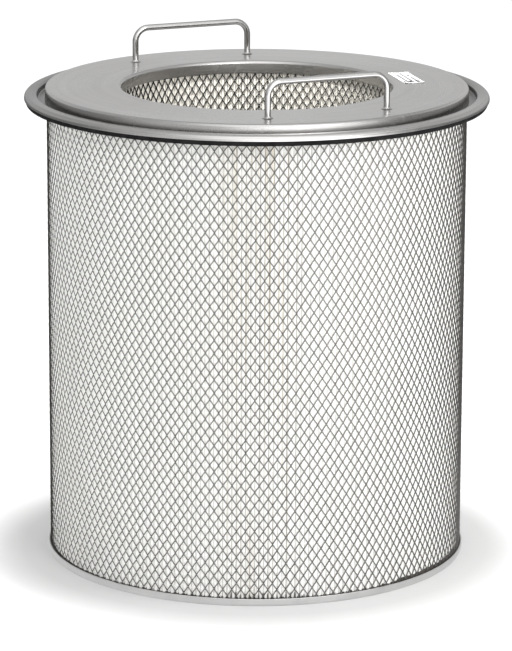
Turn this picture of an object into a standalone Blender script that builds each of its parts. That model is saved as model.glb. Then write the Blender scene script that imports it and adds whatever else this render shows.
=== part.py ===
"""Cylindrical pleated filter cartridge with a flanged steel top cap and two lifting handles.

Units are metres, +Z is up. The cartridge's axis is the Z axis, and it stands on z = 0.
Sheet-metal pieces are turned from the middle line of their section, then thickened.
"""

import math

import bpy

# Driving dimensions
SHEET = 0.0012  # thickness of the cap, flange and pan
GAP = 0.0003  # left between pieces that touch
RING_STEPS = 64  # facets around every large ring
WELD_STEPS = 16

DECK_TOP = 0.483  # top face of the raised deck
DECK_RADIUS = 0.2139  # outside of the cap's skirt
DECK_CORNER = 0.0025
OPENING_RADIUS = 0.1370  # inside of the collar
COLLAR_ROLL = 0.0025
COLLAR_DEPTH = 0.0127  # collar's lower edge below the deck
SKIRT_DEPTH = 0.0150  # skirt's lower edge below the deck

FLANGE_RADIUS = 0.235
FLANGE_TOP = 0.476
FLANGE_BAND = 0.0115  # width of the raised band at the flange's rim
TROUGH_DEPTH = 0.0065  # groove between the skirt and the band
LIP_BOTTOM = 0.4703

GASKET_BOTTOM = 0.4653
GASKET_ROUNDING = 0.0015

PAN_RADIUS = 0.2143
PAN_RIM = 0.0075
PAN_CORNER = 0.002
PAN_RAISE = 0.006  # the pan's middle stands above its outer channel

SCREEN_SHEET = 0.0012
POTTING_DEPTH = 0.0080
PLEATS = 72
PLEAT_PAPER = 0.020  # radial thickness of a pleat's slanting wall

ROD_RADIUS = 0.003175
HANDLE_SPAN = 0.127  # between the centres of a handle's legs
HANDLE_RISE = 0.035  # from the deck to the middle of the grip
HANDLE_BEND = 0.014
HANDLE_OFFSET = 0.170  # from the axis to each handle
WELD_RADIUS = 0.0054
WELD_HEIGHT = 0.0024

LABEL_WIDTH = 0.0215
LABEL_LENGTH = 0.059
LABEL_PAPER = 0.0003
LABEL_RADIUS = 0.1577
LABEL_ANGLE = -9.0  # degrees from +X

# Derived dimensions
SKIRT_LINE = DECK_RADIUS - SHEET / 2
DECK_LINE = DECK_TOP - SHEET / 2
COLLAR_LINE = OPENING_RADIUS + SHEET / 2
OUTER_SCREEN_RADIUS = DECK_RADIUS - SHEET - GAP - 0.0001
OUTER_SCREEN_TOP = DECK_TOP - 0.0036
INNER_SCREEN_RADIUS = OPENING_RADIUS + SHEET + GAP + SCREEN_SHEET + 0.0001
INNER_SCREEN_TOP = DECK_TOP - 0.0065
SCREEN_BOTTOM = SHEET + 0.0008
MEDIA_OUTER = OUTER_SCREEN_RADIUS - SCREEN_SHEET - GAP
MEDIA_INNER = INNER_SCREEN_RADIUS + GAP
LOWER_POTTING_BOTTOM = SHEET + GAP
LOWER_POTTING_TOP = LOWER_POTTING_BOTTOM + POTTING_DEPTH
UPPER_POTTING_TOP = DECK_TOP - SHEET - 2 * GAP
UPPER_POTTING_BOTTOM = UPPER_POTTING_TOP - POTTING_DEPTH - 0.003


def clear_scene():
    for obj in list(bpy.data.objects):
        bpy.data.objects.remove(obj, do_unlink=True)


def new_collection(name):
    made = bpy.data.collections.new(name)
    bpy.context.scene.collection.children.link(made)
    return made


def new_material(name, color, roughness, metallic=0.0):
    made = bpy.data.materials.new(name)
    made.use_nodes = True
    shader = made.node_tree.nodes["Principled BSDF"]
    shader.inputs["Base Color"].default_value = (*color, 1.0)
    shader.inputs["Roughness"].default_value = roughness
    shader.inputs["Metallic"].default_value = metallic
    return made


def arc(center, radius, start, end, steps):
    """Points on an arc in the section's plane. Angles are in degrees, 0 towards +X."""
    points = []
    for i in range(steps + 1):
        angle = math.radians(start + (end - start) * i / steps)
        points.append((center[0] + radius * math.cos(angle), center[1] + radius * math.sin(angle)))
    return points


def add_object(name, data, material):
    made = bpy.data.objects.new(name, data)
    made.data.materials.append(material)
    parts.objects.link(made)
    return made


def shade_round(mesh):
    mesh.shade_smooth()
    mesh.set_sharp_from_angle(angle=math.radians(40))


def turned(name, section, material, closed=True):
    """A section of (radius, height) points turned about the Z axis."""
    edges = [(i, i + 1) for i in range(len(section) - 1)]
    if closed:
        edges.append((len(section) - 1, 0))
    mesh = bpy.data.meshes.new(name)
    mesh.from_pydata([(radius, 0.0, height) for radius, height in section], edges, [])
    made = add_object(name, mesh, material)
    screw = made.modifiers.new("turn", "SCREW")
    screw.axis = "Z"
    screw.angle = math.tau
    screw.steps = RING_STEPS
    screw.render_steps = RING_STEPS
    screw.use_merge_vertices = True
    screw.merge_threshold = 0.00001
    screw.use_smooth_shade = True
    return made


def sheet_metal(name, middle_line, material):
    """A turned shell whose section follows middle_line."""
    made = turned(name, middle_line, material, closed=False)
    thicken = made.modifiers.new("thickness", "SOLIDIFY")
    thicken.thickness = SHEET
    thicken.offset = 0.0
    thicken.use_even_offset = True
    return made


def sleeve(name, inner_radius, outer_radius, bottom, top, material):
    section = [(outer_radius, top), (outer_radius, bottom), (inner_radius, bottom), (inner_radius, top)]
    return turned(name, section, material)


def make_top_cap(material):
    """Collar, rolled inner edge, flat deck, rounded outer corner and skirt, in one drawn sheet."""
    roll_center = (COLLAR_LINE + COLLAR_ROLL, DECK_LINE - COLLAR_ROLL)
    corner_center = (SKIRT_LINE - DECK_CORNER, DECK_LINE - DECK_CORNER)
    line = [(COLLAR_LINE, DECK_TOP - COLLAR_DEPTH)]
    line += arc(roll_center, COLLAR_ROLL, 180, 90, 4)
    line += arc(corner_center, DECK_CORNER, 90, 0, 3)
    line.append((SKIRT_LINE, DECK_TOP - SKIRT_DEPTH))
    return sheet_metal("top_cap", line, material)


def make_mounting_flange(material):
    """Trough floor, step up to the band, and the band turned down at the rim."""
    bend = 0.0025
    floor = FLANGE_TOP - TROUGH_DEPTH - SHEET / 2
    band = FLANGE_TOP - SHEET / 2
    inner_wall = FLANGE_RADIUS - FLANGE_BAND - SHEET
    rim = FLANGE_RADIUS - SHEET / 2
    line = [(DECK_RADIUS + GAP, floor)]
    line += arc((inner_wall - bend, floor + bend), bend, -90, 0, 2)
    line += arc((inner_wall + bend, band - bend), bend, 180, 90, 2)
    line += arc((rim - bend, band - bend), bend, 90, 0, 3)
    line.append((rim, LIP_BOTTOM))
    return sheet_metal("mounting_flange", line, material)


def make_flange_gasket(material):
    """Sponge ring glued inside the flange's downward channel."""
    outer = FLANGE_RADIUS - SHEET - 0.0006
    inner = FLANGE_RADIUS - FLANGE_BAND + 0.0001
    top = FLANGE_TOP - SHEET - GAP
    rounding = GASKET_ROUNDING
    section = arc((outer - rounding, top - rounding), rounding, 90, 0, 1)
    section += arc((outer - rounding, GASKET_BOTTOM + rounding), rounding, 0, -90, 2)
    section += arc((inner + rounding, GASKET_BOTTOM + rounding), rounding, 270, 180, 2)
    section += arc((inner + rounding, top - rounding), rounding, 180, 90, 1)
    return turned("flange_gasket", section, material)


def make_bottom_pan(material):
    """Closed pan: upturned rim, potting channel, and a raised middle."""
    step = 0.003
    channel_inner = MEDIA_INNER - 0.0035
    center = (PAN_RADIUS - SHEET / 2 - PAN_CORNER, SHEET / 2 + PAN_CORNER)
    raised = SHEET / 2 + PAN_RAISE
    line = [(PAN_RADIUS - SHEET / 2, PAN_RIM)]
    line += arc(center, PAN_CORNER, 0, -90, 2)
    line += arc((channel_inner, SHEET / 2 + PAN_CORNER), PAN_CORNER, -90, -150, 1)
    line += arc((channel_inner - 2 * step, raised - PAN_CORNER), PAN_CORNER, 30, 90, 1)
    line.append((0.0, raised))
    return sheet_metal("bottom_pan", line, material)


def make_upper_potting(material):
    """Adhesive that fills the cap's channel above the pleats. Its top corners follow the rolled sheet."""
    outer = MEDIA_OUTER
    inner = MEDIA_INNER
    section = [
        (outer - 0.0020, UPPER_POTTING_TOP),
        (outer, UPPER_POTTING_TOP - 0.0010),
        (outer, UPPER_POTTING_BOTTOM),
        (inner, UPPER_POTTING_BOTTOM),
        (inner, UPPER_POTTING_TOP - 0.0010),
        (inner + 0.0020, UPPER_POTTING_TOP),
    ]
    return turned("upper_potting", section, material)


def make_pleat_pack(material):
    """One zigzag wall between the screens, extruded from its flat outline."""
    bottom = LOWER_POTTING_TOP + GAP
    top = UPPER_POTTING_BOTTOM - GAP
    curve = bpy.data.curves.new("media_pleat_pack", "CURVE")
    curve.dimensions = "2D"
    curve.fill_mode = "BOTH"
    curve.extrude = (top - bottom) / 2
    outline(curve, MEDIA_OUTER - GAP, MEDIA_INNER + PLEAT_PAPER)
    outline(curve, MEDIA_OUTER - PLEAT_PAPER, MEDIA_INNER + GAP)
    made = add_object("media_pleat_pack", curve, material)
    made.location.z = (top + bottom) / 2
    return made


def outline(curve, tip_radius, valley_radius):
    """A closed star of PLEATS tips."""
    spline = curve.splines.new("POLY")
    spline.points.add(2 * PLEATS - 1)
    spline.use_cyclic_u = True
    for i, point in enumerate(spline.points):
        radius = valley_radius if i % 2 else tip_radius
        angle = math.pi * i / PLEATS
        point.co = (radius * math.cos(angle), radius * math.sin(angle), 0.0, 1.0)


def make_handle(name, y, material):
    """Round rod: two upright legs, two bends and a straight grip, parallel to X."""
    half = HANDLE_SPAN / 2
    grip = DECK_TOP + HANDLE_RISE
    path = [(-half, DECK_TOP + GAP)]
    path += arc((-half + HANDLE_BEND, grip - HANDLE_BEND), HANDLE_BEND, 180, 90, 5)
    path += arc((half - HANDLE_BEND, grip - HANDLE_BEND), HANDLE_BEND, 90, 0, 5)
    path.append((half, DECK_TOP + GAP))
    curve = bpy.data.curves.new(name, "CURVE")
    curve.dimensions = "3D"
    curve.bevel_depth = ROD_RADIUS
    curve.bevel_resolution = 2
    curve.use_fill_caps = True
    spline = curve.splines.new("POLY")
    spline.points.add(len(path) - 1)
    for point, (x, z) in zip(spline.points, path):
        point.co = (x, y, z, 1.0)
    return add_object(name, curve, material)


def make_handle_weld(name, x, y, material):
    """Concave fillet around the foot of a handle's leg."""
    inner = ROD_RADIUS + GAP
    section = [
        (inner, WELD_HEIGHT),
        (inner + 0.0009, WELD_HEIGHT * 0.55),
        (inner + 0.0019, WELD_HEIGHT * 0.25),
        (WELD_RADIUS, GAP),
        (inner, GAP),
    ]
    made = turned(name, section, material)
    made.modifiers["turn"].steps = WELD_STEPS
    made.modifiers["turn"].render_steps = WELD_STEPS
    made.location = (x, y, DECK_TOP)
    return made


def make_label(material):
    """Paper label that lies on the deck, its long side along the ring."""
    mesh = bpy.data.meshes.new("deck_label")
    half_width = LABEL_WIDTH / 2
    half_length = LABEL_LENGTH / 2
    corners = [(-half_width, -half_length), (half_width, -half_length), (half_width, half_length),
               (-half_width, half_length)]
    mesh.from_pydata([(x, y, 0.0) for x, y in corners], [], [(0, 1, 2, 3)])
    made = add_object("deck_label", mesh, material)
    angle = math.radians(LABEL_ANGLE)
    made.location = (LABEL_RADIUS * math.cos(angle), LABEL_RADIUS * math.sin(angle), DECK_TOP + GAP)
    made.rotation_euler.z = angle
    thicken = made.modifiers.new("paper", "SOLIDIFY")
    thicken.thickness = LABEL_PAPER
    thicken.offset = 1.0
    return made


def make_all():
    spun_steel = new_material("satin_steel", (0.47, 0.465, 0.455), 0.32, 1.0)
    rod_steel = new_material("handle_steel", (0.52, 0.51, 0.50), 0.22, 1.0)
    weld_metal = new_material("weld_metal", (0.44, 0.43, 0.42), 0.45, 1.0)
    mesh_steel = new_material("screen_steel", (0.26, 0.25, 0.24), 0.45, 1.0)
    zinc = new_material("galvanised_steel", (0.60, 0.60, 0.60), 0.40, 1.0)
    sponge = new_material("gasket_rubber", (0.02, 0.02, 0.02), 0.75)
    media = new_material("filter_media", (0.90, 0.88, 0.83), 0.90)
    adhesive = new_material("potting_adhesive", (0.07, 0.06, 0.05), 0.55)
    paper = new_material("label_paper", (0.88, 0.88, 0.87), 0.60)

    make_top_cap(spun_steel)
    make_mounting_flange(spun_steel)
    make_flange_gasket(sponge)
    make_bottom_pan(zinc)
    sleeve("outer_screen", OUTER_SCREEN_RADIUS - SCREEN_SHEET, OUTER_SCREEN_RADIUS,
           SCREEN_BOTTOM, OUTER_SCREEN_TOP, mesh_steel)
    sleeve("inner_screen", INNER_SCREEN_RADIUS - SCREEN_SHEET, INNER_SCREEN_RADIUS,
           SCREEN_BOTTOM, INNER_SCREEN_TOP, mesh_steel)
    sleeve("lower_potting", MEDIA_INNER, MEDIA_OUTER, LOWER_POTTING_BOTTOM, LOWER_POTTING_TOP, adhesive)
    make_upper_potting(adhesive)
    make_pleat_pack(media)
    for side, y in (("front", -HANDLE_OFFSET), ("rear", HANDLE_OFFSET)):
        make_handle(f"handle_{side}", y, rod_steel)
        for end, x in (("left", -HANDLE_SPAN / 2), ("right", HANDLE_SPAN / 2)):
            make_handle_weld(f"handle_weld_{side}_{end}", x, y, weld_metal)
    make_label(paper)
    for obj in parts.objects:
        if obj.type == "MESH":
            shade_round(obj.data)


clear_scene()
parts = new_collection("filter_cartridge")
make_all()
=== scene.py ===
import math

import bmesh
import bpy
import numpy as np
from mathutils import Matrix, Vector


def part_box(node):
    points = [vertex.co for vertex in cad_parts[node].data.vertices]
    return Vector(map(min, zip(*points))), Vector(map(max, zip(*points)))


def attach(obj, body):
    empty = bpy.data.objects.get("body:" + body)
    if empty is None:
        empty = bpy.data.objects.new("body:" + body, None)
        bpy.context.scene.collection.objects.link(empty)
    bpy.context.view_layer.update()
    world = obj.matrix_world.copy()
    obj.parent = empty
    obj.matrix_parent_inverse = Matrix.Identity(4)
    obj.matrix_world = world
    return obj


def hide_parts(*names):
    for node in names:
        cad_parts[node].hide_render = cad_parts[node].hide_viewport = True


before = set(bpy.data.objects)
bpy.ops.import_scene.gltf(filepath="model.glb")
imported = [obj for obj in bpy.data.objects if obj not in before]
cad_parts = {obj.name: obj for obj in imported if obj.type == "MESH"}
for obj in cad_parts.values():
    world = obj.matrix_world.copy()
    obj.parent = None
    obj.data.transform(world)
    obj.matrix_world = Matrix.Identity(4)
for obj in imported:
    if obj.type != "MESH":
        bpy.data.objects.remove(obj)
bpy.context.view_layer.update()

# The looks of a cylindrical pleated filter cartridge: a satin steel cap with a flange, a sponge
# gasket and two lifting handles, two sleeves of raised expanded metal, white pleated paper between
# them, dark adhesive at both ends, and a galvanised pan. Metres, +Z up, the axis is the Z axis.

chance = np.random.default_rng(7)
MM = 0.001


def lowest(node):
    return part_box(node)[0].z


def highest(node):
    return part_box(node)[1].z


def widest(node):
    """Outer radius of a round node."""
    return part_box(node)[1].x


# Sizes from the CAD parts in model.glb
DECK_TOP = highest("top_cap")
DECK_RADIUS = widest("top_cap")
SKIRT_BOTTOM = lowest("top_cap")
FLANGE_RADIUS = widest("mounting_flange")
FLANGE_TOP = highest("mounting_flange")
TROUGH_BOTTOM = lowest("mounting_flange")
GASKET_BOTTOM = lowest("flange_gasket")
GASKET_TOP = highest("flange_gasket")
GASKET_RADIUS = widest("flange_gasket")
PAN_RADIUS = widest("bottom_pan")
PAN_RIM = highest("bottom_pan")
OUTER_SCREEN_RADIUS = widest("outer_screen")
OUTER_SCREEN_TOP = highest("outer_screen")
INNER_SCREEN_RADIUS = widest("inner_screen")
SCREEN_BOTTOM = lowest("outer_screen")
MEDIA_RADIUS = widest("media_pleat_pack")
POTTING_BOTTOM = lowest("lower_potting")
POTTING_TOP = highest("lower_potting")
UPPER_POTTING_BOTTOM = lowest("upper_potting")
UPPER_POTTING_TOP = highest("upper_potting")

# Shapes of the turned pieces
SHEET = 1.2 * MM
EDGE_REACH = 0.25  # how far a cut edge stands out past its section line, in sheet thicknesses
EDGE_FLAT = 0.3  # half of what is left flat on a cut edge, in sheet thicknesses
DECK_CORNER = 2.5 * MM
COLLAR_ROLL = 2.5 * MM
COLLAR_DEPTH = 12.7 * MM
OPENING_RADIUS = INNER_SCREEN_RADIUS - 2.8 * MM
FLANGE_BAND = 11.5 * MM
FLANGE_LIP = 5.7 * MM
FLANGE_BEND = 2.5 * MM
RIM_BEND = 4.0 * MM
GASKET_WIDTH = 9.6 * MM
GASKET_ROUNDING = 1.5 * MM
GASKET_WAVER = 0.12 * MM
GASKET_SAG = 0.16 * MM
PAN_CORNER = 2.0 * MM
PAN_RAISE = 6.0 * MM
PAN_STEP = 3.0 * MM
PAN_FLAT = 90.0 * MM
MEDIA_INNER = INNER_SCREEN_RADIUS + 0.6 * MM
RING_STEPS = 288
HANDLE_BEND = 14.0 * MM
WELD_RIPPLES = 17

# Expanded metal: diamonds stand upright, and each strand is twisted out of the sheet
OUTER_COLUMNS = 150
INNER_COLUMNS = 102
DIAMOND_HEIGHT = 13.3 * MM
STRAND_SHEET = 0.55 * MM
BOND_HALF_HEIGHT = 1.05 * MM
BOND_HALF_WIDTH = 0.36 * MM
STRAND_TWIST = 0.30 * MM
BOND_SCATTER = 0.06 * MM
ROW_WAVER = 0.35 * MM
OUTER_SHEET_INSET = 0.4 * MM
INNER_SHEET_INSET = 0.6 * MM
MESH_HEIGHT = OUTER_SCREEN_TOP - SCREEN_BOTTOM - 3 * BOND_HALF_HEIGHT
SCREEN_ROWS = math.floor(MESH_HEIGHT / (DIAMOND_HEIGHT / 2)) + 1
SEAM_FROM_X = 0.57  # how far round the outer sleeve's second seam is, in turns

# Pleated paper. A pleat strays sideways by a share of its pitch
PLEATS = 292
PAPER = 0.55 * MM
PLEAT_TIP = 2.1 * MM
PLEAT_TIP_DEPTH = 1.2 * MM
PLEAT_FOLD = 0.85 * MM
PLEAT_LEVELS = 7
TIP_TURNS = (-85, -57, -28, 0, 28, 57, 85)
FOLD_TURNS = (-60, 0, 60)
PLEAT_SCATTER = 0.02
PLEAT_SHORT = 0.25 * MM
PLEAT_SWAY = 0.08 * MM
SWAY_LENGTHS = (0.25, 0.6)

# Where painted shade streaks the paper and where the adhesive crept up, in degrees round from the camera's
# side
GAP_SHADE_AZIMUTH = 1
GAP_SHADE_REACH = 13
SPIKES_FROM = -6
SPIKES_TO = 13
CREPT_FROM = 44
CREPT_TO = 88
SECTOR_EASING = 4

# How high, in millimetres, the adhesive wicked up: in every valley, in the run of spikes,
# in stray bits, and where it crept up, at least and on top
VALLEY_WICK = 1.0
SPIKE_WICK = (2.0, 6.5)
STRAY_WICK = (0.5, 2.0)
STRAY_SHARE = 0.015
CREPT_WICK = (2.2, 1.2)

# The flange carries least painted shade on this side, in degrees round from the camera's side
LEAST_SHADE_AZIMUTH = 12

# Printed paper label. Its print is placed in shares of its width and length
LABEL_WIDTH = 21.5 * MM
LABEL_LENGTH = 59.0 * MM
LABEL_PAPER = 0.2 * MM
LABEL_CURL = 0.5 * MM
LABEL_STEPS = (13, 31)
RULES_WAVE = 26.0
RULES_START = 0.06
PRINT_WIDTH = 0.42
PRINT_LENGTH = 0.44
BLOCK_AT = 0.37
BLOCK_LENGTH = 0.07

# The camera stands at the photograph's viewing angle, far off with a long lens
CAMERA_AZIMUTH = -23.804
CAMERA_ELEVATION = 13.923
CAMERA_DISTANCE = 3.8048
CAMERA_PITCH = -0.117
CAMERA_ROLL = 0.224
CAMERA_LENS = 205.13
CAMERA_HEIGHT = 0.240

# The studio. Its azimuths are in degrees round from the camera's side
DOME_STRENGTH = 1.06
BORE_LIGHT_ELEVATION = 62
BORE_LIGHT_DISTANCE = 2.4
BORE_LIGHT_POWER = 360
BANK_ELEVATION = 42
KEY_AZIMUTH = 28
FILL_AZIMUTH = -32
FLOOR_REACH = 25.0

# What metal mirrors at each height of the dome, from level to straight up
MIRRORED_STOPS = ((0.0, 0.55), (0.10, 0.80), (0.35, 0.80), (0.60, 0.55), (0.80, 0.60), (1.0, 0.95))

# Azimuth, elevation, distance, size, power, and whether metal mirrors it
SOFTBOXES = {
    "top_light": (180, 87.5, 2.6, (0.3, 0.3), 26, False),
    "left_fill": (-45, 15, 3.0, (1.6, 1.2), 8, False),
    "right_fill": (75, 15, 3.0, (1.6, 1.2), 40, False),
    "key_light": (KEY_AZIMUTH, 22, 3.0, (1.1, 1.1), 20, True),
}


# ---------------------------------------------------------------- mesh helpers

def place(piece, look, slot, *nodes):
    """Links a finished piece, gives it its material, and hides the CAD nodes it stands for."""
    bpy.context.scene.collection.objects.link(piece)
    piece.data.materials.append(look)
    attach(piece, "root")
    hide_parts(*nodes)
    return piece


def mesh_piece(name, points, faces, smooth_angle=38.0):
    mesh = bpy.data.meshes.new(name)
    mesh.from_pydata(np.asarray(points).tolist(), [], np.asarray(faces).tolist())
    if signed_volume(mesh) < 0:
        mesh.flip_normals()
    mesh.shade_smooth()
    mesh.set_sharp_from_angle(angle=math.radians(smooth_angle))
    return bpy.data.objects.new(name, mesh)


def signed_volume(mesh):
    """Six times the volume, negative where the faces point inwards."""
    mesh.calc_loop_triangles()
    points = np.empty(len(mesh.vertices) * 3, np.float32)
    mesh.vertices.foreach_get("co", points)
    faces = np.empty(len(mesh.loop_triangles) * 3, np.int32)
    mesh.loop_triangles.foreach_get("vertices", faces)
    return float(np.linalg.det(points.reshape(-1, 3)[faces.reshape(-1, 3)]).sum())


def waves(angle, counts, size):
    """A smooth uneven curve around a ring, made of whole waves."""
    total = np.zeros_like(angle)
    for count in counts:
        total += np.sin(count * angle + chance.uniform(0, math.tau))
    return size * total / len(counts)


def arc(center, radius, start, end, steps):
    """Points on an arc in the section's plane. Angles are in degrees, 0 towards +X."""
    angles = np.radians(np.linspace(start, end, steps + 1))
    return [(center[0] + radius * math.cos(a), center[1] + radius * math.sin(a)) for a in angles]


def side_line(line, distance):
    """The section line moved sideways by distance."""
    line = np.array(line)
    runs = np.diff(line, axis=0)
    normals = np.stack([-runs[:, 1], runs[:, 0]], axis=1)
    normals /= np.linalg.norm(normals, axis=1)[:, None]
    before = np.vstack([normals[:1], normals])
    after = np.vstack([normals, normals[-1:]])
    middle = before + after
    middle /= np.linalg.norm(middle, axis=1)[:, None]
    return line + distance * middle / (middle * before).sum(axis=1)[:, None]


def cut_edge(tip, before, thickness):
    """Two points that ease the cut edge of a sheet whose section line ends at tip."""
    along = np.array(tip) - np.array(before)
    along /= np.linalg.norm(along)
    across = np.array([-along[1], along[0]])
    beyond = np.array(tip) + EDGE_REACH * thickness * along
    return [beyond + EDGE_FLAT * thickness * across, beyond - EDGE_FLAT * thickness * across]


def sheet_section(line, thickness=SHEET, ends_on_axis=False):
    """Closed outline of a sheet that follows the section line, with its cut edges eased."""
    outline = list(side_line(line, thickness / 2))
    if not ends_on_axis:
        outline += cut_edge(line[-1], line[-2], thickness)
    outline += list(side_line(line, -thickness / 2))[::-1]
    outline += cut_edge(line[0], line[1], thickness)
    return outline


def turned(name, section, steps=RING_STEPS, uneven=None, smooth_angle=38.0):
    """A closed section of (radius, height) turned about the Z axis. uneven moves its points."""
    section = np.array(section)
    count = len(section)
    angle = np.repeat(np.arange(steps)[:, None] * math.tau / steps, count, axis=1)
    radius = np.repeat(section[None, :, 0], steps, axis=0)
    height = np.repeat(section[None, :, 1], steps, axis=0)
    if uneven:
        radius, height = uneven(angle, radius, height)
    points = np.stack([radius * np.cos(angle), radius * np.sin(angle), height], axis=-1)
    return mesh_piece(name, points.reshape(-1, 3), ring_faces(steps, count), smooth_angle)


def ring_faces(steps, count):
    """Quads of a grid that closes both round the ring and round the section."""
    here = np.arange(steps)[:, None] * count
    there = (here + count) % (steps * count)
    this = np.arange(count)[None, :]
    after = (this + 1) % count
    return np.stack([here + this, here + after, there + after, there + this], axis=-1).reshape(-1, 4)


def close_axis(piece):
    """Merges the points of a turned piece that lie on the Z axis."""
    work = bmesh.new()
    work.from_mesh(piece.data)
    middle = [v for v in work.verts if math.hypot(v.co.x, v.co.y) < 0.01 * MM]
    bmesh.ops.remove_doubles(work, verts=middle, dist=0.01 * MM)
    work.to_mesh(piece.data)
    work.free()


# ---------------------------------------------------------------- steel pieces

def make_top_cap(look):
    """Collar, rolled inner edge, deck, rounded outer corner and skirt, in one drawn sheet."""
    deck = DECK_TOP - SHEET / 2
    collar = OPENING_RADIUS + SHEET / 2
    skirt = DECK_RADIUS - SHEET / 2
    mouth = collar + COLLAR_ROLL
    deck_edge = skirt - DECK_CORNER
    line = [(collar, DECK_TOP - COLLAR_DEPTH)]
    line += arc((mouth, deck - COLLAR_ROLL), COLLAR_ROLL, 180, 90, 10)
    line += [(r, deck) for r in np.linspace(mouth, deck_edge, 10)[1:-1]]
    line += arc((deck_edge, deck - DECK_CORNER), DECK_CORNER, 90, 0, 10)
    line.append((skirt, SKIRT_BOTTOM + EDGE_REACH * SHEET))

    def drawn(angle, radius, height):
        """The deck is a few hundredths of a millimetre off flat, as a drawn sheet is."""
        across = np.clip((radius - mouth) / (deck_edge - mouth), 0, 1)
        off_flat = np.sin(math.pi * across) * (waves(angle, (2, 3, 5), 0.06 * MM) - 0.08 * MM)
        return radius, height + off_flat

    made = turned("top_cap_drawn", sheet_section(line), uneven=drawn)
    return place(made, look, "satin_steel", "top_cap")


def make_flange(look):
    """Trough floor, step up to the band, and the band turned down at the rim."""
    floor = TROUGH_BOTTOM + SHEET / 2
    band = FLANGE_TOP - SHEET / 2
    wall = FLANGE_RADIUS - FLANGE_BAND - SHEET
    rim = FLANGE_RADIUS - SHEET / 2
    line = [(DECK_RADIUS + 0.35 * MM, floor)]
    line += arc((wall - FLANGE_BEND, floor + FLANGE_BEND), FLANGE_BEND, -90, 0, 6)
    line += arc((wall + FLANGE_BEND, band - FLANGE_BEND), FLANGE_BEND, 180, 90, 6)
    line += arc((rim - RIM_BEND, band - RIM_BEND), RIM_BEND, 90, 0, 10)
    line.append((rim, FLANGE_TOP - FLANGE_LIP + EDGE_REACH * SHEET))
    made = turned("mounting_flange_formed", sheet_section(line))
    return place(made, look, "satin_steel", "mounting_flange")


def make_pan(look):
    """Upturned rim, potting channel and a raised middle."""
    raised = SHEET / 2 + PAN_RAISE
    wall = PAN_RADIUS - SHEET / 2
    inner = MEDIA_INNER - 3.5 * MM
    line = [(wall, PAN_RIM - EDGE_REACH * SHEET)]
    line += arc((wall - PAN_CORNER, SHEET / 2 + PAN_CORNER), PAN_CORNER, 0, -90, 8)
    line += arc((inner, SHEET / 2 + PAN_CORNER), PAN_CORNER, -90, -150, 4)
    line += arc((inner - 2 * PAN_STEP, raised - PAN_CORNER), PAN_CORNER, 30, 90, 4)
    line += [(r, raised) for r in np.linspace(PAN_FLAT, 0, 4)]
    made = turned("bottom_pan_pressed", sheet_section(line, ends_on_axis=True))
    close_axis(made)
    return place(made, look, "galvanised_steel", "bottom_pan")


def make_handle(side, look):
    """Round rod: two upright legs, two bends and a straight grip."""
    low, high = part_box("handle_" + side)
    rod = (high.y - low.y) / 2
    half = (high.x - low.x) / 2 - rod
    grip = high.z - rod
    path = [(-half, low.z)]
    path += arc((-half + HANDLE_BEND, grip - HANDLE_BEND), HANDLE_BEND, 180, 90, 16)
    path += arc((half - HANDLE_BEND, grip - HANDLE_BEND), HANDLE_BEND, 90, 0, 16)
    path.append((half, low.z))
    curve = bpy.data.curves.new("handle_rod_" + side, "CURVE")
    curve.dimensions = "3D"
    curve.bevel_depth = rod
    curve.bevel_resolution = 8
    curve.use_fill_caps = True
    spline = curve.splines.new("POLY")
    spline.points.add(len(path) - 1)
    for point, (x, z) in zip(spline.points, path):
        point.co = (x, (low.y + high.y) / 2, z, 1.0)
    made = bpy.data.objects.new(curve.name, curve)
    return place(made, look, "handle_steel", "handle_" + side)


def make_weld(side, end, look):
    """Hand-laid bead around the foot of a handle's leg, in small overlapping ripples."""
    node = f"handle_weld_{side}_{end}"
    low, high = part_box(node)
    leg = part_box("handle_" + side)
    rod = (leg[1].y - leg[0].y) / 2
    foot = (high.x - low.x) / 2
    rise = high.z - low.z
    section = arc((foot, rise), foot - rod, 180, 270, 7)
    section += [(foot + 0.1 * MM, -0.1 * MM), (rod, -0.1 * MM)]

    def beaded(angle, radius, height):
        ripples = 0.5 + 0.5 * np.cos(WELD_RIPPLES * angle + waves(angle, (2, 3), 1.5))
        lift = np.clip(height / rise, 0, 1)
        swell = (0.9 + 0.1 * ripples) * (1 + waves(angle, (1, 2), 0.06))
        crown = 0.2 * MM * ripples * lift * (1 - lift)
        return rod + (radius - rod) * swell, height * (0.85 + 0.15 * ripples) + crown

    made = turned(node.replace("weld", "bead"), section, steps=120, uneven=beaded)
    made.data.transform(Matrix.Translation(((low.x + high.x) / 2, (low.y + high.y) / 2, low.z)))
    return place(made, look, "weld_metal", node)


def make_gasket(look):
    """Sponge ring under the flange, a little uneven as cut foam is."""
    outer = GASKET_RADIUS
    inner = outer - GASKET_WIDTH
    corner = GASKET_ROUNDING
    section = arc((outer - corner, GASKET_TOP - corner), corner, 90, 0, 4)
    section += arc((outer - corner, GASKET_BOTTOM + corner), corner, 0, -90, 6)
    section += arc((inner + corner, GASKET_BOTTOM + corner), corner, 270, 180, 6)
    section += arc((inner + corner, GASKET_TOP - corner), corner, 180, 90, 4)

    def cut_foam(angle, radius, height):
        share = np.clip((GASKET_TOP - height) / (GASKET_TOP - GASKET_BOTTOM), 0, 1)
        radius = radius + share * (waves(angle, (5, 9, 23, 41), GASKET_WAVER) - 0.1 * MM)
        return radius, height + share * np.abs(waves(angle, (4, 13, 29), GASKET_SAG))

    made = turned("flange_gasket_sponge", section, uneven=cut_foam)
    return place(made, look, "gasket_rubber", "flange_gasket")


# ---------------------------------------------------------------- expanded metal

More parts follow.
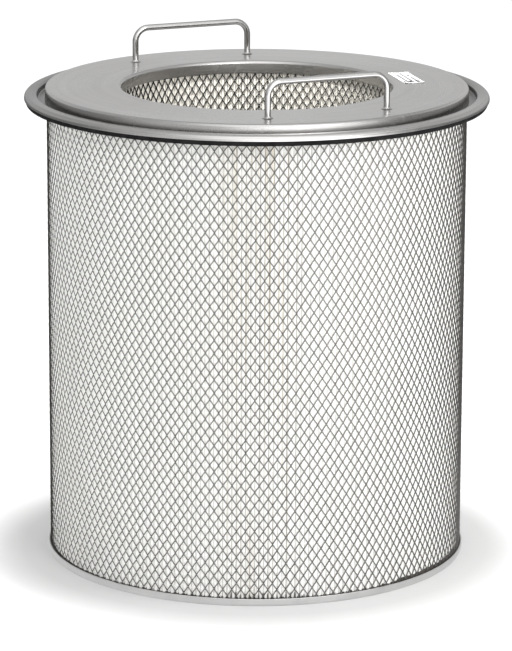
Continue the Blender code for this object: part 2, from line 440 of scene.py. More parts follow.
def expanded_metal(name, radius, columns, first, last):
    """Part of a rolled sheet of raised expanded metal, from half-column first to last.

    Bonds sit where first <= i <= last, 0 <= j < SCREEN_ROWS and i + j is even. Each bond has a top,
    left, bottom and right corner, on the sheet's outer and inner face. Its right corner stands
    outwards and its left corner inwards, so that the strands between bonds are twisted."""
    step = math.tau / (2 * columns)
    rise = DIAMOND_HEIGHT / 2
    bonds = [(i, j) for j in range(SCREEN_ROWS) for i in range(first, last + 1) if (i + j) % 2 == 0]
    index = {bond: k for k, bond in enumerate(bonds)}
    grid = np.array(bonds, float)
    lap = np.where(grid[:, 0] <= first + 1, -0.5, 0) + np.where(grid[:, 0] >= last - 1, 0.5, 0)
    middle = radius + lap * STRAND_SHEET + chance.normal(0, BOND_SCATTER / 2, len(bonds))
    along = radius * grid[:, 0] * step + chance.normal(0, BOND_SCATTER, len(bonds))
    height = SCREEN_BOTTOM + BOND_HALF_HEIGHT + grid[:, 1] * rise
    height += chance.normal(0, BOND_SCATTER, len(bonds))
    height += waves(grid[:, 0] * step, (2, 3, 5), ROW_WAVER)
    corners = ((0, BOND_HALF_HEIGHT, 0), (-BOND_HALF_WIDTH, 0, -STRAND_TWIST),
               (0, -BOND_HALF_HEIGHT, 0), (BOND_HALF_WIDTH, 0, STRAND_TWIST))
    points = []
    for face in (0.5, -0.5):
        for sideways, up, out in corners:
            reach = middle + out + face * STRAND_SHEET
            angle = (along + sideways) / radius
            points.append(np.stack([reach * np.cos(angle), reach * np.sin(angle), height + up], axis=1))
    points = np.stack(points, axis=1).reshape(-1, 3)
    return mesh_piece(name, points, strand_faces(index), smooth_angle=30)


def strand_faces(index):
    """Faces of the bonds, the strands between them and the walls of the holes."""
    top, left, bottom, right = range(4)
    inner = 4
    faces = []

    def both_sides(*corners):
        faces.append(corners)
        faces.append([corner + inner for corner in reversed(corners)])

    def wall(start, end):
        faces.append((start, end, end + inner, start + inner))

    for (i, j), k in index.items():
        here = 8 * k
        both_sides(here + top, here + left, here + bottom, here + right)
        right_bond = index.get((i + 1, j + 1))
        left_bond = index.get((i - 1, j + 1))
        if right_bond is None:
            wall(here + top, here + right)
        else:
            there = 8 * right_bond
            both_sides(here + top, here + right, there + bottom, there + left)
            wall(here + top, there + left)
            wall(there + bottom, here + right)
        if left_bond is None:
            wall(here + left, here + top)
        else:
            there = 8 * left_bond
            both_sides(here + left, here + top, there + right, there + bottom)
            wall(there + right, here + top)
            wall(here + left, there + bottom)
        if (i - 1, j - 1) not in index:
            wall(here + bottom, here + left)
        if (i + 1, j - 1) not in index:
            wall(here + right, here + bottom)
    return faces


def make_screens(look_outer, look_inner):
    """The outer sleeve is two sheets that lap by one strand, the inner sleeve one sheet that laps itself."""
    outer = OUTER_SCREEN_RADIUS - OUTER_SHEET_INSET
    inner = INNER_SCREEN_RADIUS - INNER_SHEET_INSET
    start = -round(2 * OUTER_COLUMNS * SEAM_FROM_X)
    end = start + 2 * OUTER_COLUMNS
    sheets = (("outer_screen_front", start, 0), ("outer_screen_back", 0, end))
    for name, first, last in sheets:
        sheet = expanded_metal(name, outer, OUTER_COLUMNS, first, last + 1)
        place(sheet, look_outer, "screen_steel", "outer_screen")
    sleeve = expanded_metal("inner_screen_sleeve", inner, INNER_COLUMNS, 0, 2 * INNER_COLUMNS + 1)
    place(sleeve, look_inner, "screen_steel", "inner_screen")


# ---------------------------------------------------------------- pleats and adhesive

def pleat_face(tip, tip_round, fold, fold_round, centers, shorter, sway):
    """One face of the pleated sheet, as the radius and angle of its points around each pleat."""
    tip_turns = np.radians(TIP_TURNS)
    fold_turns = np.radians(FOLD_TURNS)
    tip_out = tip - PLEAT_TIP_DEPTH * (1 - np.cos(tip_turns))
    fold_out = fold + fold_round - fold_round * np.cos(fold_turns)
    out = np.hstack([tip_out - shorter[:, None], np.tile(fold_out, (PLEATS, 1))])
    tip_aside = tip_round * np.sin(tip_turns) + sway[:, None]
    fold_aside = np.tile(fold_round * np.sin(fold_turns), (PLEATS, 1))
    turn = np.hstack([np.tile(centers[:, None], tip_turns.size),
                      np.tile(centers[:, None] + math.pi / PLEATS, fold_turns.size)])
    return out, turn + np.hstack([tip_aside, fold_aside]) / out


def make_pleats(look):
    """Paper folded to and fro between the screens, each pleat a little different."""
    heights = np.linspace(POTTING_TOP - 3 * MM, UPPER_POTTING_BOTTOM + 3 * MM, PLEAT_LEVELS)
    centers = (np.arange(PLEATS) + chance.normal(0, PLEAT_SCATTER, PLEATS)) * math.tau / PLEATS
    shorter = np.abs(chance.normal(0, PLEAT_SHORT, PLEATS))
    phase = chance.uniform(0, math.tau, PLEATS)
    length = chance.uniform(*SWAY_LENGTHS, PLEATS)
    tip = MEDIA_RADIUS
    fold = MEDIA_INNER
    faces = (((tip, PLEAT_TIP, fold + PAPER, PLEAT_FOLD), heights),
             ((tip - PAPER, PLEAT_TIP - PAPER, fold, PLEAT_FOLD + PAPER), heights[::-1]))
    loops = []
    for shape, levels in faces:
        for height in levels:
            sway = PLEAT_SWAY * np.sin(math.tau * height / length + phase)
            out, turn = pleat_face(*shape, centers, shorter, sway)
            ring = np.stack([out * np.cos(turn), out * np.sin(turn), height + 0 * out], axis=-1)
            loops.append(ring.reshape(-1, 3))
    points = np.stack(loops, axis=1).reshape(-1, 3)
    made = mesh_piece("pleated_paper", points, ring_faces(len(loops[0]), len(loops)), smooth_angle=60)
    return place(made, look, "filter_media", "media_pleat_pack")


def make_lower_potting(look):
    """Adhesive in the pan's channel. It has wicked up between the pleats and beside the screen."""
    wall = PAN_RADIUS - SHEET - 0.1 * MM
    inner = MEDIA_INNER - 1.8 * MM
    low = POTTING_BOTTOM
    level = POTTING_TOP
    crest = MEDIA_RADIUS + 0.1 * MM
    surface = PAN_RIM - 1.5 * MM
    # Outside the sleeve, up over the pleats' tips, level inside the pack, and round the inner sleeve
    section = [(wall, low), (wall, surface), (wall - 0.4 * MM, surface + 0.3 * MM),
               (crest + 0.45 * MM, surface + 0.3 * MM), (crest + 0.25 * MM, surface + 1.0 * MM),
               (crest - 0.5 * MM, surface + 1.2 * MM), (crest - 6 * MM, level - 0.6 * MM),
               (MEDIA_RADIUS - 15 * MM, level), (MEDIA_INNER + 12 * MM, level),
               (MEDIA_INNER + 3 * MM, level + 0.6 * MM), (MEDIA_INNER + 1 * MM, level + 1.2 * MM),
               (MEDIA_INNER - 0.2 * MM, level + 0.3 * MM), (inner, PAN_RIM), (inner, low)]
    steps_per_pleat = 6
    steps = steps_per_pleat * PLEATS
    in_valley = np.arange(steps) % steps_per_pleat == steps_per_pleat // 2
    angle_of = np.arange(steps) * math.tau / steps
    runs = sector(angle_of, SPIKES_FROM, SPIKES_TO)
    crept = sector(angle_of, CREPT_FROM, CREPT_TO)
    spikes = in_valley * (chance.uniform(0, VALLEY_WICK, steps) + runs * chance.uniform(*SPIKE_WICK, steps))
    bits = (chance.uniform(0, 1, steps) > 1 - STRAY_SHARE) * chance.uniform(*STRAY_WICK, steps)
    bits = np.maximum(bits, np.roll(bits, 1))
    rise = (spikes + bits + crept * (CREPT_WICK[0] + chance.uniform(0, CREPT_WICK[1], steps))) * MM

    def wicked(angle, radius, height):
        above = np.clip((height - surface - 0.3 * MM) / (0.7 * MM), 0, 1)
        at_crest = np.clip((radius - crest + 2.5 * MM) / (2 * MM), 0, 1)
        height = height + above * at_crest * rise[:, None]
        return radius, height + above * waves(angle, (3, 7, 19), 0.4 * MM)

    made = turned("potting_lower", section, steps=steps, uneven=wicked, smooth_angle=60)
    return place(made, look, "potting_adhesive", "lower_potting")


def sector(angle, start, end):
    """1 between two angles, in degrees from the camera's side towards its right, easing to 0 past them."""
    turned_by = np.degrees(angle) + 90 - CAMERA_AZIMUTH
    past = np.abs((turned_by - (start + end) / 2 + 180) % 360 - 180) - (end - start) / 2
    return np.clip(1 - past / SECTOR_EASING, 0, 1)


def make_upper_potting(look):
    """Adhesive in the cap's channel, with an uneven lower face."""
    top = UPPER_POTTING_TOP
    low = UPPER_POTTING_BOTTOM
    outer = MEDIA_RADIUS
    section = [(outer - 2 * MM, top), (outer, top - 1 * MM), (outer, low + 1 * MM), (outer - 1 * MM, low),
               (outer - 6 * MM, low + 0.6 * MM), (MEDIA_INNER + 6 * MM, low + 0.6 * MM),
               (MEDIA_INNER + 1 * MM, low), (MEDIA_INNER, low + 1 * MM), (MEDIA_INNER, top - 3 * MM),
               (MEDIA_INNER + 4.5 * MM, top)]

    def sagged(angle, radius, height):
        share = np.clip((low + 2 * MM - height) / (2 * MM), 0, 1)
        return radius, height + share * (waves(angle, (11, 37, 71), 0.6 * MM) - 0.6 * MM)

    made = turned("potting_upper", section, steps=2 * PLEATS, uneven=sagged, smooth_angle=60)
    return place(made, look, "potting_adhesive", "upper_potting")


def make_label(look):
    """Paper label on the deck, its corners not quite stuck down."""
    low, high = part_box("deck_label")
    middle = (low + high) / 2
    turn = math.atan2(middle.y, middle.x)
    across, along = LABEL_STEPS
    side = np.linspace(-0.5, 0.5, across)[:, None] + np.zeros((1, along))
    run = np.linspace(-0.5, 0.5, along)[None, :] + np.zeros((across, 1))
    corner = np.clip(np.abs(run) * 10 - 4, 0, 1) ** 2 * np.abs(side) * 2
    lift = LABEL_PAPER / 4 + LABEL_CURL * corner
    points = np.stack([side * LABEL_WIDTH, run * LABEL_LENGTH, lift], axis=-1).reshape(-1, 3)
    here = (np.arange(across - 1)[:, None] * along + np.arange(along - 1)[None, :]).reshape(-1)
    faces = np.stack([here, here + along, here + along + 1, here + 1], axis=1)
    mesh = bpy.data.meshes.new("label_paper")
    mesh.from_pydata(points.tolist(), [], faces.tolist())
    mesh.shade_smooth()
    made = bpy.data.objects.new("label_paper", mesh)
    made.location = (middle.x, middle.y, DECK_TOP)
    made.rotation_euler.z = turn
    thicken = made.modifiers.new("paper", "SOLIDIFY")
    thicken.thickness = LABEL_PAPER
    thicken.offset = 1.0
    return place(made, look, "label_paper", "deck_label")


# ---------------------------------------------------------------- materials

class Look:
    """A Principled material, with short ways to add the nodes that feed it."""

    def __init__(self, name, **constants):
        self.material = bpy.data.materials.new(name)
        self.material.use_nodes = True
        self.tree = self.material.node_tree
        self.shader = self.tree.nodes["Principled BSDF"]
        for socket, value in constants.items():
            self.shader.inputs[socket.replace("_", " ")].default_value = value

    def feed(self, socket, value):
        if isinstance(value, bpy.types.NodeSocket):
            self.tree.links.new(value, socket)
        else:
            socket.default_value = value

    def node(self, kind, inputs, **settings):
        made = self.tree.nodes.new("ShaderNode" + kind)
        for name, value in settings.items():
            setattr(made, name, value)
        for name, value in inputs.items():
            self.feed(made.inputs[name], value)
        return made

    def math(self, operation, first, second=0.0):
        return self.node("Math", {0: first, 1: second}, operation=operation).outputs[0]

    def add(self, first, second):
        return self.math("ADD", first, second)

    def times(self, first, second):
        return self.math("MULTIPLY", first, second)

    def dot(self, first, second):
        return self.node("VectorMath", {0: first, 1: second}, operation="DOT_PRODUCT").outputs["Value"]

    def noise(self, vector, scale, detail=3.0, roughness=0.5):
        made = self.node("TexNoise", {"Vector": vector, "Scale": scale, "Detail": detail,
                                      "Roughness": roughness})
        return made.outputs["Fac"]

    def span(self, value, low, high, to_low=0.0, to_high=1.0):
        """value moved from low..high to to_low..to_high, and kept inside it."""
        made = self.node("MapRange", {"Value": value, "From Min": low, "From Max": high,
                                      "To Min": to_low, "To Max": to_high})
        return made.outputs["Result"]

    def mix(self, share, first, second):
        made = self.node("Mix", {"Factor": share}, data_type="RGBA")
        self.feed(made.inputs[6], first)
        self.feed(made.inputs[7], second)
        return made.outputs[2]

    def position(self):
        return self.node("TexCoord", {}).outputs["Object"]

    def stretched(self, vector, scale):
        return self.node("Mapping", {"Vector": vector, "Scale": scale}).outputs["Vector"]

    def turned_position(self):
        """Distance from the Z axis, and height."""
        x, y, z = self.node("SeparateXYZ", {"Vector": self.position()}).outputs
        squared = self.add(self.times(x, x), self.times(y, y))
        return self.math("SQRT", squared), z

    def facing(self, azimuth):
        """Cosine of the angle round the Z axis from a side of the cartridge, counted from the camera's."""
        along = self.dot(self.position(), view_side(CAMERA_AZIMUTH + azimuth, 0))
        return self.math("DIVIDE", along, self.math("MAXIMUM", self.turned_position()[0], 1 * MM))

    def ring_vector(self, across, around):
        """Coordinates for marks that run round the Z axis: fine across them and long around."""
        x, y, z = self.node("SeparateXYZ", {"Vector": self.position()}).outputs
        radius = self.turned_position()[0]
        safe = self.math("MAXIMUM", radius, 1 * MM)
        fine = self.times(self.add(radius, self.times(z, 1.37)), across)
        cosine = self.times(self.math("DIVIDE", x, safe), around)
        sine = self.times(self.math("DIVIDE", y, safe), around)
        return self.node("CombineXYZ", {0: fine, 1: cosine, 2: sine}).outputs[0]

    def bump(self, height, strength, distance):
        made = self.node("Bump", {"Height": height, "Strength": strength, "Distance": distance})
        self.tree.links.new(made.outputs["Normal"], self.shader.inputs["Normal"])

    def set(self, socket, value):
        self.feed(self.shader.inputs[socket], value)


def grey(value, warmth=0.0):
    return (value * (1 + warmth), value, value * (1 - warmth), 1.0)


def satin_steel(name, dark, light, side_shade, groove_shade):
    """Spun stainless sheet: fine marks round the axis, cloudy smears and scuffs.

    The last two arguments set painted shade: how much darker it is away from its brightest side,
    and how much painted shade lies in the flange's groove, away from the camera's side."""
    look = Look(name, Metallic=1.0, Anisotropic=0.4)
    position = look.position()
    marks = look.noise(look.ring_vector(2600, 1.2), 1.0, 4.0, 0.7)
    bands = look.noise(look.ring_vector(260, 0.7), 1.0, 2.0)
    clouds = look.noise(position, 9.0, 4.0, 0.6)
    scuffs = look.noise(look.stretched(position, (60, 400, 60)), 1.0, 2.0, 0.4)
    tone = look.add(look.span(marks, 0.25, 0.75, -0.5, 0.5), look.span(bands, 0.3, 0.7, -0.6, 0.6))
    tone = look.add(tone, look.span(clouds, 0.3, 0.7, -0.5, 0.5))
    sheet = look.mix(look.span(tone, -1.3, 1.3), grey(dark, 0.008), grey(light, 0.018))
    # Painted shade: the sheet darkens towards black away from the flange's brightest side.
    side_shaded = look.mix(look.span(look.facing(LEAST_SHADE_AZIMUTH), -0.2, 0.95, side_shade, 0.0), sheet, grey(0.0))
    # Painted shade in the flange's groove: darker low down and away from the camera's side, mottled by the
    # clouds.
    radius, height = look.turned_position()
    band_from = FLANGE_RADIUS - FLANGE_BAND
    in_groove = look.span(radius, band_from - 0.2 * MM, band_from + 1 * MM, groove_shade, 0.0)
    low_down = look.span(height, FLANGE_TOP - 3 * MM, FLANGE_TOP - 1 * MM, 1.0, 0.0)
    at_sides = look.span(look.facing(0), 0.6, 0.9, 1.0, 0.0)
    groove_shading = look.times(look.times(in_groove, low_down), at_sides)
    groove_shading = look.times(groove_shading, look.span(clouds, 0.3, 0.7, 0.55, 1.0))
    look.set("Base Color", look.mix(groove_shading, side_shaded, (0.10, 0.098, 0.095, 1)))
    rough = look.span(clouds, 0.3, 0.7, 0.24, 0.33)
    rough = look.add(rough, look.span(marks, 0.3, 0.7, -0.04, 0.04))
    look.set("Roughness", look.add(rough, look.span(scuffs, 0.62, 0.75, 0.0, 0.08)))
    look.set("Tangent", look.node("Tangent", {}, direction_type="RADIAL", axis="Z").outputs[0])
    look.bump(look.add(marks, look.times(clouds, 1.5)), 0.10, 0.00012)
    return look.material


def rod_steel():
    """Drawn bright rod: faint lengthwise lines and a little dullness where hands have held it."""
    look = Look("handle_steel_drawn", Metallic=1.0)
    lines = look.noise(look.stretched(look.position(), (120, 2500, 900)), 1.0, 3.0, 0.6)
    clouds = look.noise(look.position(), 45.0, 4.0, 0.6)
    tone = look.add(look.span(lines, 0.3, 0.7, -0.5, 0.5), look.span(clouds, 0.3, 0.7, -0.5, 0.5))
    look.set("Base Color", look.mix(look.span(tone, -1, 1), grey(0.44, 0.01), grey(0.52, 0.01)))
    look.set("Roughness", look.span(clouds, 0.3, 0.7, 0.11, 0.18))
    look.bump(lines, 0.05, 0.00006)
    return look.material


def weld_metal():
    """Bead metal with darker, straw-tinted oxide in its ripples."""
    look = Look("weld_metal_bead", Metallic=1.0)
    grain = look.noise(look.position(), 900.0, 4.0, 0.65)
    oxide = look.noise(look.position(), 220.0, 3.0, 0.5)
    bead = look.mix(look.span(oxide, 0.35, 0.65), (0.36, 0.35, 0.34, 1), (0.56, 0.555, 0.55, 1))
    look.set("Base Color", bead)
    look.set("Roughness", look.span(grain, 0.3, 0.7, 0.28, 0.48))
    look.bump(grain, 0.35, 0.0003)
    return look.material


def screen_steel(name, dark, light):
    """Plated expanded metal: dull and mottled, and darker on the side away from the key light."""
    look = Look(name, Metallic=1.0)
    mottle = look.noise(look.position(), 160.0, 3.0, 0.6)
    grain = look.noise(look.position(), 1500.0, 3.0, 0.6)
    sheets = look.noise(look.position(), 7.0, 2.0, 0.5)
    tone = look.add(look.span(mottle, 0.3, 0.7, -0.5, 0.5), look.span(sheets, 0.3, 0.7, -0.3, 0.3))
    sheet = look.mix(look.span(tone, -0.8, 0.8), grey(dark, 0.05), grey(light, 0.04))
    away_from_key = look.span(look.facing(KEY_AZIMUTH), -0.5, 0.6, 0.65, 0.0)
    look.set("Base Color", look.mix(away_from_key, sheet, grey(0.0)))
    look.set("Roughness", look.span(grain, 0.3, 0.7, 0.36, 0.52))
    look.bump(grain, 0.3, 0.0001)
    return look.material


def zinc():
    """Galvanised sheet: soft crystal flakes, fine rolling marks round the rim and dulled patches."""
    look = Look("galvanised_spangle", Metallic=1.0)
    flakes = look.node("TexVoronoi", {"Vector": look.position(), "Scale": 150.0, "Randomness": 1.0})
    flake = look.node("SeparateColor", {"Color": flakes.outputs["Color"]}).outputs[0]
    patches = look.noise(look.position(), 14.0, 4.0, 0.6)
    marks = look.noise(look.ring_vector(1800, 3.0), 1.0, 3.0, 0.6)
    tone = look.times(look.math("SUBTRACT", flake, 0.5), 0.5)
    tone = look.add(tone, look.span(patches, 0.3, 0.7, -0.5, 0.5))
    tone = look.add(tone, look.span(marks, 0.3, 0.7, -0.4, 0.4))
    look.set("Base Color", look.mix(look.span(tone, -1, 1), grey(0.56), grey(0.70, 0.01)))
    look.set("Roughness", look.add(look.span(patches, 0.3, 0.7, 0.36, 0.48), look.times(flake, 0.06)))
    look.bump(look.add(marks, look.times(flake, 0.4)), 0.12, 0.00015)
    return look.material


def sponge():
    """Closed-cell rubber: small cells on a matt black skin, dusty on its proud parts."""
    look = Look("gasket_sponge", Specular_IOR_Level=0.12)
    cells = look.node("TexVoronoi", {"Vector": look.position(), "Scale": 1100.0}).outputs["Distance"]
    lumps = look.noise(look.position(), 90.0, 4.0, 0.6)
    skin = look.mix(look.span(lumps, 0.35, 0.7), (0.005, 0.005, 0.0055, 1), (0.016, 0.0155, 0.0155, 1))
    look.set("Base Color", skin)
    look.set("Roughness", look.span(cells, 0.0, 0.6, 0.92, 0.70))
    look.bump(look.add(cells, look.times(lumps, 1.5)), 0.5, 0.0005)
    return look.material


def paper():
    """White glass-fibre paper: matt and fibrous, with painted shade making it creamier down in the folds,
    and painted shade in beige streaks on the camera's side, stronger higher up."""
    look = Look("filter_paper", Specular_IOR_Level=0.2, Roughness=0.92)
    position = look.position()
    fibres = look.noise(look.stretched(position, (700, 700, 180)), 1.0, 5.0, 0.7)
    clouds = look.noise(look.stretched(position, (12, 12, 5)), 1.0, 3.0, 0.6)
    radius = look.turned_position()[0]
    # Painted shade: creamier deeper in the folds, standing in for the shade between the pleats.
    clear_of_fold_shade = look.span(radius, MEDIA_RADIUS - 12 * MM, MEDIA_RADIUS - 1 * MM)
    face = look.mix(look.span(clouds, 0.35, 0.7), (0.96, 0.957, 0.94, 1), (0.94, 0.932, 0.905, 1))
    fold_shaded = look.mix(clear_of_fold_shade, (0.90, 0.87, 0.80, 1), face)
    # Painted shade: beige streaks on the camera's side, stronger higher up, where the pleat gaps are seen
    # straight on.
    streaks = look.noise(look.stretched(position, (620, 620, 5)), 1.0, 2.0, 0.5)
    in_patch = look.span(look.facing(GAP_SHADE_AZIMUTH), math.cos(math.radians(GAP_SHADE_REACH)), 1.0)
    higher_up = look.span(look.turned_position()[1], 0.15, 0.46, 0.45, 1.0)
    gap_shade = look.times(look.times(in_patch, higher_up), look.span(streaks, 0.48, 0.72))
    gap_shaded = look.mix(gap_shade, fold_shaded, (0.62, 0.55, 0.42, 1))
    look.set("Base Color", look.mix(look.span(fibres, 0.25, 0.6, 0.10, 0.0), gap_shaded, (0.78, 0.76, 0.72, 1)))
    look.bump(fibres, 0.25, 0.0003)
    return look.material


def adhesive():
    """Dark cured adhesive: glossy where it pooled, dusty and pitted where it crept up."""
    look = Look("potting_cured")
    lumps = look.noise(look.position(), 130.0, 4.0, 0.6)
    pits = look.noise(look.position(), 700.0, 3.0, 0.6)
    cured = look.mix(look.span(lumps, 0.3, 0.7), (0.022, 0.020, 0.018, 1), (0.075, 0.066, 0.055, 1))
    look.set("Base Color", cured)
    look.set("Roughness", look.span(pits, 0.3, 0.7, 0.35, 0.65))
    look.bump(look.add(lumps, look.times(pits, 0.4)), 0.5, 0.0008)
    return look.material


def label_stock():
    """White label with plain printed rules along it, broken here and there, and a block at its front end."""
    look = Look("label_printed", Specular_IOR_Level=0.3, Roughness=0.55)
    position = look.position()
    parts = look.node("SeparateXYZ", {"Vector": position})
    across = look.math("DIVIDE", parts.outputs[0], LABEL_WIDTH)
    along = look.math("DIVIDE", parts.outputs[1], LABEL_LENGTH)
    wave = look.math("SINE", look.times(look.add(across, RULES_START), RULES_WAVE))
    rules = look.math("GREATER_THAN", wave, -0.1)
    inside = look.math("LESS_THAN", look.math("ABSOLUTE", across), PRINT_WIDTH)
    reach = look.math("LESS_THAN", look.math("ABSOLUTE", along), PRINT_LENGTH)
    breaks = look.noise(look.stretched(position, (150, 70, 1)), 1.0, 0.0)
    whole = look.math("GREATER_THAN", breaks, 0.36)
    lines = look.times(look.times(rules, whole), look.times(inside, reach))
    front = look.math("LESS_THAN", look.math("ABSOLUTE", look.add(along, BLOCK_AT)), BLOCK_LENGTH)
    figures = look.noise(look.stretched(position, (260, 1, 1)), 1.0, 0.0)
    marks = look.times(front, look.math("GREATER_THAN", figures, 0.47))
    block = look.times(marks, inside)
    fibres = look.noise(position, 1500.0, 4.0, 0.6)
    stock = look.mix(look.span(fibres, 0.3, 0.7), (0.86, 0.86, 0.85, 1), (0.91, 0.91, 0.90, 1))
    printed = look.mix(look.times(lines, 0.85), stock, (0.10, 0.10, 0.11, 1))
    look.set("Base Color", look.mix(block, printed, (0.03, 0.03, 0.03, 1)))
    look.bump(fibres, 0.15, 0.0001)
    return look.material


def floor_white():
    """Matt white studio paper with a faint grain, greyer in a ring round the pan to deepen its
    contact shadow. Mirrored in metal, it darkens to the sides of the camera, as a studio does
    beyond its lit ground."""
    look = Look("floor_paper", Specular_IOR_Level=0.1, Roughness=0.95)
    position = look.position()
    grain = look.noise(position, 3.0, 3.0)
    radius = look.turned_position()[0]
    white = look.mix(grain, grey(0.93), grey(0.95))
    look.set("Base Color", look.mix(look.span(radius, 0.24, 0.30, 1.0, 0.0), white, grey(0.70)))
    look.bump(look.noise(position, 400.0, 2.0), 0.05, 0.0002)
    key_side = look.span(look.facing(KEY_AZIMUTH), 0.72, 0.97, 0.28, 3.0)
    fill_side = look.span(look.facing(FILL_AZIMUTH), 0.6, 0.95, 0.0, 0.6)
    far_ground = look.times(look.add(key_side, fill_side), look.span(radius, 0.5, 1.0))
    lit = look.add(far_ground, look.span(radius, 0.4, 0.9, 0.85, 0.0))
    # Painted reflection: seen in metal, the floor is a glowing emission rather than lit paper.
    mirrored = look.node("Emission", {"Color": (1, 1, 1, 1), "Strength": lit})
    in_metal = look.node("LightPath", {}).outputs["Is Glossy Ray"]
    chosen = look.node("MixShader", {0: in_metal, 1: look.shader.outputs[0], 2: mirrored.outputs[0]})
    look.feed(look.tree.nodes["Material Output"].inputs["Surface"], chosen.outputs[0])
    return look.material


# ---------------------------------------------------------------- camera, light and floor

def view_side(azimuth, elevation):
    """Unit vector from the cartridge out to a viewer, in degrees. Azimuth 0 looks along +Y."""
    a, e = math.radians(azimuth), math.radians(elevation)
    return Vector((math.sin(a) * math.cos(e), -math.cos(a) * math.cos(e), math.sin(e)))


def make_camera():
    back = view_side(CAMERA_AZIMUTH, CAMERA_ELEVATION)
    right = (-back).cross(Vector((0, 0, 1))).normalized()
    up = right.cross(-back)
    pitch, roll = math.radians(CAMERA_PITCH), math.radians(CAMERA_ROLL)
    forward = -back * math.cos(pitch) + up * math.sin(pitch)
    up = right.cross(forward)
    tilted_right = right * math.cos(roll) + up * math.sin(roll)
    tilted_up = tilted_right.cross(forward)
    data = bpy.data.cameras.new("camera")
    data.lens = CAMERA_LENS
    data.clip_end = 60
    camera = bpy.data.objects.new("camera", data)
    turn = Matrix((tilted_right, tilted_up, -forward)).transposed()
    stand = Vector((0, 0, CAMERA_HEIGHT)) + back * CAMERA_DISTANCE
    camera.matrix_world = Matrix.Translation(stand) @ turn.to_4x4()
    bpy.context.scene.collection.objects.link(camera)
    bpy.context.scene.camera = camera


def make_softbox(name, azimuth, elevation, distance, size, power, mirrored):
    """A flat light that faces the cartridge. Its azimuth is measured from the camera's."""
    data = bpy.data.lights.new(name, "AREA")
    data.shape = "RECTANGLE"
    data.size, data.size_y = size
    data.energy = power
    away = view_side(CAMERA_AZIMUTH + azimuth, elevation)
    light = bpy.data.objects.new(name, data)
    light.location = Vector((0, 0, CAMERA_HEIGHT)) + away * distance
    light.rotation_mode = "QUATERNION"
    light.rotation_quaternion = away.to_track_quat("Z", "Y")
    light.visible_glossy = mirrored
    bpy.context.scene.collection.objects.link(light)


def make_bore_light():
    """A narrow light from high in front that falls through the opening, onto the far inner wall."""
    data = bpy.data.lights.new("bore_light", "SPOT")
    away = view_side(CAMERA_AZIMUTH, BORE_LIGHT_ELEVATION)
    data.spot_size = 2 * math.atan(1.15 * OPENING_RADIUS / BORE_LIGHT_DISTANCE)
    data.spot_blend = 0.3
    data.shadow_soft_size = 0.1
    data.energy = BORE_LIGHT_POWER
    light = bpy.data.objects.new("bore_light", data)
    far_wall = Vector((0, 0, DECK_TOP)) - 0.7 * OPENING_RADIUS * view_side(CAMERA_AZIMUTH, 0)
    light.location = far_wall + away * BORE_LIGHT_DISTANCE
    light.rotation_mode = "QUATERNION"
    light.rotation_quaternion = away.to_track_quat("Z", "Y")
    light.visible_glossy = False
    bpy.context.scene.collection.objects.link(light)


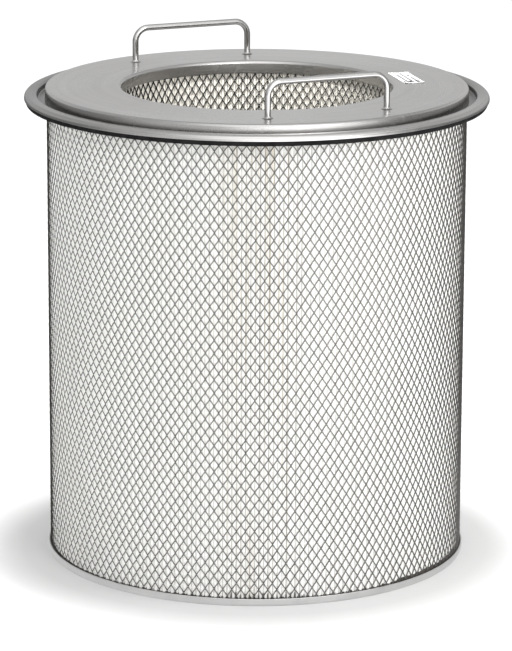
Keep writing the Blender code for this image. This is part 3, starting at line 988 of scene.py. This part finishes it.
def make_world():
    """White dome. What metal mirrors of it is darker low down at the camera's left and right, and
    brighter high up in front, where a bank of lamps would hang."""
    world = bpy.data.worlds.new("studio")
    world.use_nodes = True
    bpy.context.scene.world = world
    nodes, links = world.node_tree.nodes, world.node_tree.links

    def joined(kind, first, second, **settings):
        made = nodes.new("ShaderNode" + kind)
        for name, value in settings.items():
            setattr(made, name, value)
        for socket, value in zip(made.inputs, (first, second)):
            if isinstance(value, bpy.types.NodeSocket):
                links.new(value, socket)
            elif value is not None:
                socket.default_value = value
        return made

    def span(value, low, high, to_low, to_high):
        made = joined("MapRange", value, low)
        for name, limit in (("From Max", high), ("To Min", to_low), ("To Max", to_high)):
            made.inputs[name].default_value = limit
        return made.outputs[0]

    def facing(side):
        return joined("VectorMath", direction, side, operation="DOT_PRODUCT").outputs["Value"]

    direction = nodes.new("ShaderNodeTexCoord").outputs["Generated"]
    height = joined("SeparateXYZ", direction, None).outputs[2]
    ramp = joined("ValToRGB", height, None)
    for height_from, _ in MIRRORED_STOPS[1:-1]:
        ramp.color_ramp.elements.new(height_from)
    for element, (height_from, value) in zip(ramp.color_ramp.elements, MIRRORED_STOPS):
        element.position = height_from
        element.color = grey(value)
    along_view = facing(view_side(CAMERA_AZIMUTH, 0))
    ahead_or_behind = joined("Math", along_view, None, operation="ABSOLUTE").outputs[0]
    clear_of_sides = joined("Math", ahead_or_behind, height, operation="ADD").outputs[0]
    sides = span(clear_of_sides, 0.15, 0.75, 0.35, 1.0)
    bank = span(facing(view_side(CAMERA_AZIMUTH + KEY_AZIMUTH / 2, BANK_ELEVATION)), 0.62, 0.95, 0.0, 1.9)
    with_bank = joined("Math", sides, bank, operation="ADD").outputs[0]
    mirrored = joined("Background", ramp.outputs[0], with_bank)
    dome = joined("Background", (1.0, 1.0, 1.0, 1.0), DOME_STRENGTH)
    chosen = nodes.new("ShaderNodeMixShader")
    links.new(nodes.new("ShaderNodeLightPath").outputs["Is Glossy Ray"], chosen.inputs[0])
    links.new(dome.outputs[0], chosen.inputs[1])
    links.new(mirrored.outputs[0], chosen.inputs[2])
    links.new(chosen.outputs[0], nodes["World Output"].inputs[0])


def make_floor():
    mesh = bpy.data.meshes.new("floor")
    corners = [(x * FLOOR_REACH, y * FLOOR_REACH, 0) for x, y in ((-1, -1), (1, -1), (1, 1), (-1, 1))]
    mesh.from_pydata(corners, [], [(0, 1, 2, 3)])
    mesh.materials.append(floor_white())
    floor = bpy.data.objects.new("floor", mesh)
    bpy.context.scene.collection.objects.link(floor)


def make_studio():
    make_camera()
    make_world()
    make_floor()
    for name, setting in SOFTBOXES.items():
        make_softbox(name, *setting)
    make_bore_light()
    bpy.context.scene.view_settings.view_transform = "Standard"


# ---------------------------------------------------------------- the whole cartridge

def make_cartridge():
    cap_steel = satin_steel("satin_steel_cap", 0.43, 0.53, side_shade=0.0, groove_shade=0.0)
    # The flange gets painted shade away from its brightest side and in its groove.
    flange_steel = satin_steel("satin_steel_flange", 0.48, 0.60, side_shade=0.60, groove_shade=1.0)
    outer_steel = screen_steel("screen_steel_outer", 0.10, 0.17)
    inner_steel = screen_steel("screen_steel_inner", 0.05, 0.09)
    rod = rod_steel()
    bead = weld_metal()
    black = adhesive()
    make_top_cap(cap_steel)
    make_flange(flange_steel)
    make_pan(zinc())
    for side in ("front", "rear"):
        make_handle(side, rod)
        for end in ("left", "right"):
            make_weld(side, end, bead)
    make_gasket(sponge())
    make_screens(outer_steel, inner_steel)
    make_pleats(paper())
    make_lower_potting(black)
    make_upper_potting(black)
    make_label(label_stock())


make_studio()
make_cartridge()
